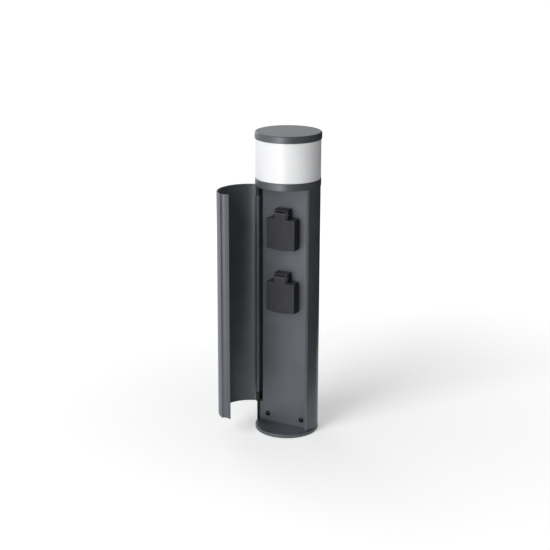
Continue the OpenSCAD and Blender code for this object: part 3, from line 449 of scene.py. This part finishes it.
def start_tree(name, lengths):
    """An empty tree with its lengths, a turn and a finish as named inputs."""
    tree = bpy.data.node_groups.new(name, "GeometryNodeTree")
    tree.interface.new_socket(name="Geometry", in_out="INPUT", socket_type="NodeSocketGeometry")
    for length in lengths:
        tree.interface.new_socket(name=length, in_out="INPUT", socket_type="NodeSocketFloat")
    tree.interface.new_socket(name="Turn", in_out="INPUT", socket_type="NodeSocketVector")
    tree.interface.new_socket(name="Finish", in_out="INPUT", socket_type="NodeSocketMaterial")
    tree.interface.new_socket(name="Geometry", in_out="OUTPUT", socket_type="NodeSocketGeometry")
    return tree, tree.nodes.new("NodeGroupInput").outputs


def put(tree, kind, inputs, **settings):
    """Adds a node, with its inputs set or linked by their name or number. Returns its first output."""
    node = tree.nodes.new(kind)
    for key, value in settings.items():
        setattr(node, key, value)
    for key, value in inputs.items():
        if isinstance(value, bpy.types.NodeSocket):
            tree.links.new(value, node.inputs[key])
        else:
            node.inputs[key].default_value = value
    return node.outputs[0]


def times(tree, value, factor):
    """A length times a factor."""
    return put(tree, "ShaderNodeMath", {0: value, 1: factor}, operation="MULTIPLY")


def along(tree, x=0.0, y=0.0, z=0.0):
    """A vector of three lengths."""
    return put(tree, "ShaderNodeCombineXYZ", {"X": x, "Y": y, "Z": z})


def moved(tree, shape, place, scale=(1, 1, 1), turn=(0, 0, 0)):
    """A shape scaled, turned and then set at a place."""
    return put(tree, "GeometryNodeTransform",
               {"Geometry": shape, "Translation": place, "Rotation": turn, "Scale": scale})


def joined(tree, *shapes):
    """Several shapes as one, each with its own surface."""
    node = tree.nodes.new("GeometryNodeJoinGeometry")
    for shape in shapes:
        tree.links.new(shape, node.inputs[0])
    return node.outputs[0]


def swept(tree, path, thickness, sides):
    """A closed round tube along a curve."""
    ring = put(tree, "GeometryNodeCurvePrimitiveCircle", {"Resolution": sides, "Radius": thickness})
    return put(tree, "GeometryNodeCurveToMesh", {"Curve": path, "Profile Curve": ring, "Fill Caps": True})


def combined(tree, operation, first, *others):
    """The first shape without the others, or what all of them share."""
    node = tree.nodes.new("GeometryNodeMeshBoolean")
    node.operation = operation
    node.solver = "EXACT"
    tree.links.new(first, node.inputs[0 if operation == "DIFFERENCE" else 1])
    for shape in others:
        tree.links.new(shape, node.inputs[1])
    return node.outputs[0]


def finish_tree(tree, given, shape, on_points=True):
    """Sets the shape on the piece's points, makes it real and gives it its finish."""
    if on_points:
        shape = put(tree, "GeometryNodeInstanceOnPoints",
                    {"Points": given["Geometry"], "Instance": shape, "Rotation": given["Turn"]})
    shape = put(tree, "GeometryNodeRealizeInstances", {"Geometry": shape})
    shape = put(tree, "GeometryNodeSetMaterial", {"Geometry": shape, "Material": given["Finish"]})
    output = tree.nodes.new("NodeGroupOutput")
    tree.links.new(shape, output.inputs[0])
    return tree


def screw_tree():
    """Button-head screws with a hexagon recess and a wound thread, heads up at the points."""
    lengths = ("Head radius", "Head height", "Shank radius", "Shank length", "Turns")
    tree, given = start_tree("screws", lengths)
    head_r, head_h = given["Head radius"], given["Head height"]
    shank_r, shank_l = given["Shank radius"], given["Shank length"]
    dome = put(tree, "GeometryNodeMeshUVSphere", {"Segments": 40, "Rings": 20, "Radius": 1.0})
    dome = moved(tree, dome, (0, 0, 0), along(tree, head_r, head_r, head_h))
    wide = times(tree, head_r, 3)
    under = put(tree, "GeometryNodeMeshCube", {"Size": along(tree, wide, wide, times(tree, head_h, 2))})
    under = moved(tree, under, along(tree, z=times(tree, head_h, -1)))
    recess = put(tree, "GeometryNodeMeshCylinder",
                 {"Vertices": 6, "Radius": times(tree, head_r, RECESS), "Depth": head_h})
    recess = moved(tree, recess, along(tree, z=times(tree, head_h, 0.85)))
    head = combined(tree, "DIFFERENCE", dome, under, recess)
    core = times(tree, shank_r, CORE)
    shank = put(tree, "GeometryNodeMeshCylinder", {"Vertices": 20, "Radius": core, "Depth": shank_l})
    shank = moved(tree, shank, along(tree, z=times(tree, shank_l, -0.49)))
    spiral = put(tree, "GeometryNodeCurveSpiral", {
        "Resolution": 16, "Rotations": given["Turns"], "Start Radius": core, "End Radius": core,
        "Height": times(tree, shank_l, THREADED)})
    thread = swept(tree, spiral, times(tree, shank_r, RIDGE), 4)
    thread = moved(tree, thread, along(tree, z=times(tree, shank_l, -0.94)))
    return finish_tree(tree, given, joined(tree, head, shank, thread))


def coil_tree():
    """Round wire wound closely about the X axis, centred on the points."""
    tree, given = start_tree("coils", ("Coil radius", "Wire radius", "Turns", "Coil length"))
    spiral = put(tree, "GeometryNodeCurveSpiral", {
        "Resolution": 28, "Rotations": given["Turns"], "Start Radius": given["Coil radius"],
        "End Radius": given["Coil radius"], "Height": given["Coil length"]})
    spiral = moved(tree, spiral, along(tree, z=times(tree, given["Coil length"], -0.5)))
    spiral = moved(tree, spiral, (0, 0, 0), turn=(0, math.pi / 2, 0))
    return finish_tree(tree, given, swept(tree, spiral, given["Wire radius"], 8))


def nut_tree():
    """Hexagon nuts with chamfered corners and an open bore, standing up from the points."""
    tree, given = start_tree("nuts", ("Corner radius", "Nut height", "Bore radius"))
    corner, height = given["Corner radius"], given["Nut height"]
    prism = put(tree, "GeometryNodeMeshCylinder", {"Vertices": 6, "Radius": corner, "Depth": height})
    turned = put(tree, "GeometryNodeMeshUVSphere", {"Segments": 40, "Rings": 20, "Radius": 1.0})
    wide = times(tree, corner, TRIM)
    turned = moved(tree, turned, (0, 0, 0), along(tree, wide, wide, height))
    body = combined(tree, "INTERSECT", prism, turned)
    bore = put(tree, "GeometryNodeMeshCylinder",
               {"Vertices": 32, "Radius": given["Bore radius"], "Depth": times(tree, height, 3)})
    body = combined(tree, "DIFFERENCE", body, bore)
    return finish_tree(tree, given, moved(tree, body, along(tree, z=times(tree, height, 0.5))))


def wire_tree():
    """A round conductor along each of the piece's own polylines."""
    tree, given = start_tree("wires", ("Wire radius",))
    path = put(tree, "GeometryNodeMeshToCurve", {"Mesh": given["Geometry"]})
    return finish_tree(tree, given, swept(tree, path, given["Wire radius"], 14), on_points=False)


def diode_tree():
    """A ring of light-emitting diodes: a white case with the gel in it, set round the Z axis."""
    tree, given = start_tree("diodes", ("Count", "Ring radius", "Case width", "Case height"))
    width, height = given["Case width"], given["Case height"]
    case = put(tree, "GeometryNodeMeshCube", {"Size": along(tree, width, width, height)})
    well = put(tree, "GeometryNodeMeshCylinder",
               {"Vertices": 24, "Radius": times(tree, width, WELL), "Depth": height})
    well = moved(tree, well, along(tree, z=times(tree, height, 0.62)))
    case = combined(tree, "DIFFERENCE", case, well)
    case = put(tree, "GeometryNodeSetMaterial", {"Geometry": case, "Material": FINISH["white_plastic"]})
    gel = put(tree, "GeometryNodeMeshUVSphere", {"Segments": 20, "Rings": 10, "Radius": 1.0})
    wide = times(tree, width, GEL)
    gel_size = along(tree, wide, wide, times(tree, height, 0.35))
    gel = moved(tree, gel, along(tree, z=times(tree, height, 0.1)), gel_size)
    gel = put(tree, "GeometryNodeSetMaterial", {"Geometry": gel, "Material": given["Finish"]})
    chip = moved(tree, joined(tree, case, gel), along(tree, z=times(tree, height, 0.5)))
    number = tree.nodes.new("GeometryNodeInputIndex").outputs[0]
    step = put(tree, "ShaderNodeMath", {0: 2 * math.pi, 1: given["Count"]}, operation="DIVIDE")
    half_step = times(tree, step, 0.5)
    angle = put(tree, "ShaderNodeMath", {0: number, 1: step, 2: half_step}, operation="MULTIPLY_ADD")
    ring = put(tree, "GeometryNodeMeshCircle",
               {"Vertices": given["Count"], "Radius": given["Ring radius"]})
    ring = moved(tree, ring, (0, 0, 0), turn=along(tree, z=half_step))
    chips = put(tree, "GeometryNodeInstanceOnPoints",
                {"Points": ring, "Instance": chip, "Rotation": along(tree, z=angle)})
    chips = put(tree, "GeometryNodeRealizeInstances", {"Geometry": chips})
    placed = put(tree, "GeometryNodeInstanceOnPoints", {"Points": given["Geometry"], "Instance": chips})
    placed = put(tree, "GeometryNodeRealizeInstances", {"Geometry": placed})
    output = tree.nodes.new("NodeGroupOutput")
    tree.links.new(placed, output.inputs[0])
    return tree


TREES = {"screws": screw_tree(), "coils": coil_tree(), "nuts": nut_tree(), "wires": wire_tree(),
         "diodes": diode_tree()}
FRONT = (math.pi / 2, 0, 0)
BACK = (-math.pi / 2, 0, 0)
UP = (0, 0, 0)
DOWN = (math.pi, 0, 0)


def grown(name, tree_name, points, node, sizes, turn=UP, slot=None, edges=(), smooth=34):
    """A piece that a tree makes at the given points, in millimetres, in place of a CAD node."""
    slot = slot or SLOT_OF[node]
    mesh = bpy.data.meshes.new(name)
    mesh.from_pydata([tuple(0.001 * part for part in point) for point in points], edges, [])
    piece = show(name, mesh)
    tree = TREES[tree_name]
    modifier = piece.modifiers.new("made", "NODES")
    modifier.node_group = tree
    values = dict(sizes, Turn=turn, Finish=FINISH[slot])
    for item in tree.interface.items_tree:
        if item.in_out == "INPUT" and item.name in values:
            modifier[item.identifier] = values[item.name]
    settle(piece, BODY_OF[node], slot, node)
    piece.data.shade_smooth()
    piece.data.set_sharp_from_angle(angle=math.radians(smooth))
    return piece


def screws(node, points, turn, head_r, head_h, shank_r, shank_l):
    """Stands for a node of screws. Sizes are in millimetres; the points are under the heads."""
    pitch = 0.28 * shank_r + 0.25
    sizes = {"Head radius": head_r / 1000, "Head height": head_h / 1000, "Shank radius": shank_r / 1000,
             "Shank length": shank_l / 1000, "Turns": THREADED * shank_l / pitch}
    return grown(node + "_turned", "screws", points, node, sizes, turn)


def corner_cut(route, passes=3):
    """The route with its corners cut again and again, its ends kept."""
    for _ in range(passes):
        cut = [route[0]]
        for here, there in zip(route, route[1:]):
            cut.append(tuple(0.75 * a + 0.25 * b for a, b in zip(here, there)))
            cut.append(tuple(0.25 * a + 0.75 * b for a, b in zip(here, there)))
        route = cut + [route[-1]]
    return route


def wires(name, node, slot, routes, radius=1.25):
    """Conductors along routes in millimetres, as one piece of one colour."""
    points, edges = [], []
    for route in routes:
        path = corner_cut(route)
        edges += [(len(points) + i, len(points) + i + 1) for i in range(len(path) - 1)]
        points += path
    return grown(name, "wires", points, node, {"Wire radius": radius / 1000}, UP, slot, edges, 50)


paint_nodes()
place_camera()
light_studio()
lay_floor()
place_flag()

# What keeps the CAD shape, with the radius of its edges in metres
EDGES = {
    "base_plate": 0.0004, "cable_grommet": 0.0004, "post": 0.0011, "door": 0.0006,
    "collar": 0.0005, "cap": 0.0006, "diffuser": 0.0004,
    "lower_hinge_ear": 0.0004, "upper_hinge_ear": 0.0004,
    "lower_hinge_pin": 0.0002, "upper_hinge_pin": 0.0002,
    "lower_hinge_bush": 0.0002, "upper_hinge_bush": 0.0002,
    "terminal_bracket": 0.0003, "terminal_block": 0.0005, "terminal_bars": 0.0002,
    "strain_relief": 0.0006, "earth_lug": 0.0002, "diffuser_gasket": 0.0002,
    "diffuser_ring": 0.0004, "led_board": 0.0002, "led_driver": 0.0012,
}
SOCKET_EDGES = {
    "socket_body": 0.0005, "socket_gasket": 0.0002, "socket_back": 0.0003, "socket_sleeves": 0.0002,
    "socket_earth_clip": 0.00015, "lid": 0.001, "lid_seal": 0.0005, "lid_pin": 0.0003,
}
for node, edge in EDGES.items():
    rounded(node, edge)
for side in SIDES:
    for part, edge in SOCKET_EDGES.items():
        rounded(f"{side}_{part}", edge, 3 if part == "lid" else 2)

# Screws, nuts, diodes and springs. Points and screws(...) are in millimetres, as in the CAD; the
# lengths given to a tree are in metres.
foot_points = [(MID + side * 33, PANEL, 19.5) for side in (-1, 1)]
screws("foot_screws", foot_points, FRONT, 4.6, 2.4, 2, 12.8)
grown("foot_nuts_turned", "nuts", [(x, BRACKET, z) for x, y, z in foot_points], "foot_nuts",
      {"Corner radius": 0.004, "Nut height": 0.0032, "Bore radius": 0.002}, BACK)
block_points = [(MID + side * 17.7, 21.1, 74) for side in (-1, 1)]
screws("terminal_block_screws", block_points, BACK, 2.8, 2, 1.5, 20)
relief_points = [(MID + side * 11, 15.1, 38) for side in (-1, 1)]
screws("strain_relief_screws", relief_points, BACK, 2.8, 2, 1.5, 14)
screws("earth_screw", [(MID + 25, 4.3, 45)], BACK, 4, 2.6, 2.5, 3.2)


def round_the_axis(radius, angles, z):
    """Points on a circle about the post's axis, at angles in degrees."""
    return [(radius * math.cos(math.radians(a)), radius * math.sin(math.radians(a)), z) for a in angles]


screws("collar_screws", round_the_axis(46.3, (25, 65, 115, 155), 443.5), UP, 3.6, 2.4, 1.9, 15.5)
screws("led_board_screws", round_the_axis(26, (30, 150, 270), 447.6), UP, 2.8, 2, 1.25, 4.1)
screws("led_driver_screws", [(side * 29, 19, 438) for side in (-1, 1)], DOWN, 2.8, 2, 1.5, 5.5)
grown("led_chips_mounted", "diodes", [(0, 0, 447.6)], "led_chips",
      {"Count": 12, "Ring radius": 0.018, "Case width": 0.0035, "Case height": 0.0008})
for side in SIDES:
    z = SOCKET_Z[side]
    reach = 19
    corners = [(MID + reach * i, PANEL - 8.4, z + reach * k) for i in (-1, 1) for k in (-1, 1)]
    screws(side + "_socket_fixing_screws", corners, FRONT, 2.8, 2, 1.5, 11.2)
    terminals = side + "_socket_terminal_screws"
    grub_points = [(MID + CONTACT * i, PANEL + 18.9, z + 11) for i in (-1, 1)]
    grown(terminals + "_grub", "screws", grub_points, terminals,
          {"Head radius": 0.00132, "Head height": 0.0006, "Shank radius": 0.0015, "Shank length": 0.0074,
           "Turns": 10})
    grown(terminals + "_earth", "screws", [(MID, PANEL + 23.5, z)], terminals,
          {"Head radius": 0.0026, "Head height": 0.0016, "Shank radius": 0.0015, "Shank length": 0.0048,
           "Turns": 6}, BACK)
    axis_y, axis_z = -20.3, z + 34
    coil_end, coil_r = 3.3, 1.85
    grown(side + "_lid_spring_wound", "coils", [(MID, axis_y, axis_z)], side + "_lid_spring",
          {"Coil radius": 0.00192, "Wire radius": 0.0004, "Turns": 9.5, "Coil length": 0.0078})
    legs = [
        [(MID + coil_end, axis_y, axis_z - coil_r), (MID + coil_end, axis_y + 4.2, axis_z - coil_r)],
        [(MID - coil_end, axis_y - coil_r, axis_z), (MID - coil_end, axis_y - coil_r, axis_z - 3.9)]]
    wires(side + "_lid_spring_legs", side + "_lid_spring", "zinc_steel", legs, 0.4)


# Wires: from the terminal block up the back of the post, and in to each socket's rear

def pole_x(pole):
    """The terminal block's line (0), earth (1) or neutral (2)."""
    return MID + 11 * (pole - 1)


def bore_y(way):
    """The block's bore for the lower socket (0), the upper one (1), or the lamp and earth lug (2)."""
    return 12.1 + 4.8 * (way - 1)


def from_block(pole, way, x, run_y):
    """Up out of the block and over to the back of the post."""
    return [(pole_x(pole), bore_y(way), 75), (pole_x(pole), bore_y(way), 96), (x, run_y, 134)]


def socket_route(pole, way, x, end_y, z):
    """From the block up to the height z, and forward into a socket's rear."""
    run_y = 34 + 5.6 * way
    return from_block(pole, way, x, run_y) + [
        (x, run_y, z - 24), (x, run_y, z), (x, 24.2, z), (x, end_y, z)]


for way, side in enumerate(SIDES):
    z = SOCKET_Z[side]
    node = side + "_socket_wires"
    wires(node + "_line", node, "brown_insulation", [socket_route(0, way, MID - CONTACT, 18.2, z)])
    wires(node + "_neutral", node, "blue_insulation", [socket_route(2, way, MID + CONTACT, 18.2, z)])
    wires(node + "_earth", node, "green_insulation", [socket_route(1, way, MID, 17.8, z + 9)])
for pole, slot in ((0, "brown_insulation"), (2, "blue_insulation")):
    x = pole_x(pole)
    run_y = 45.2
    run = from_block(pole, 2, x, run_y) + [(x, run_y, 390), (x, run_y, 402), (x, 24, 402), (x, 24, 414)]
    wires("driver_wires_" + slot.split("_")[0], "driver_wires", slot, [run])
earth_run = [(13.1, 5.2, 45), (7.1, 5.2, 45), (pole_x(1), 6.2, 48), (pole_x(1), bore_y(2), 51),
             (pole_x(1), bore_y(2), 70)]
wires("earth_wire_run", "earth_wire", "green_insulation", [earth_run])
for side, slot in ((-1, "brown_insulation"), (1, "red_insulation")):
    run = [(2 * side, 20, 440), (2 * side, 20, 446)]
    wires("led_wires_" + slot.split("_")[0], "led_wires", slot, [run], 0.8)
